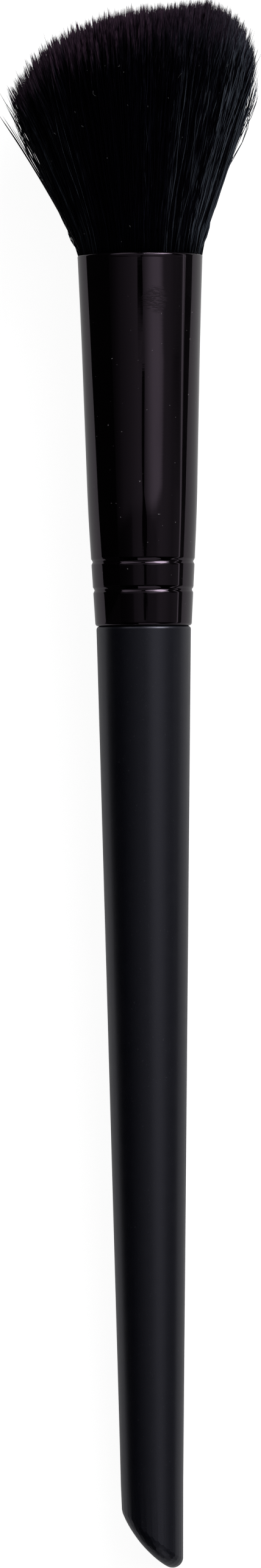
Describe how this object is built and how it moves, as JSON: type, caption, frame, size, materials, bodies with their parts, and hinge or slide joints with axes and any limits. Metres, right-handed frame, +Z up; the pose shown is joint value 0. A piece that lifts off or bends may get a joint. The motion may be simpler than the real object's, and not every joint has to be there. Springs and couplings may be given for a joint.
{
  "type": "contour brush",
  "caption": "Slim face brush with a tapered handle cut off at a slant, a gloss black ferrule crimped on with ring grooves, and a dense tuft cut to a slanted dome.",
  "frame": {"origin": "on the floor that the brush lies on, under the centre of its bounding box", "axes": "+Y along the brush from the butt towards the tuft, +Z up from the floor, +X towards the side of the long hairs"},
  "size_m": [0.0289, 0.1803, 0.02],
  "materials": {
    "soft_touch_lacquer": "matte",
    "gloss_black_metal": "gloss",
    "black_fibre": "matte",
    "epoxy": "gloss"
  },
  "bodies": {
    "root": {"handle": "soft_touch_lacquer", "ferrule": "gloss_black_metal", "hair_bundle": "black_fibre", "root_glue": "epoxy"}
  },
  "joints": []
}
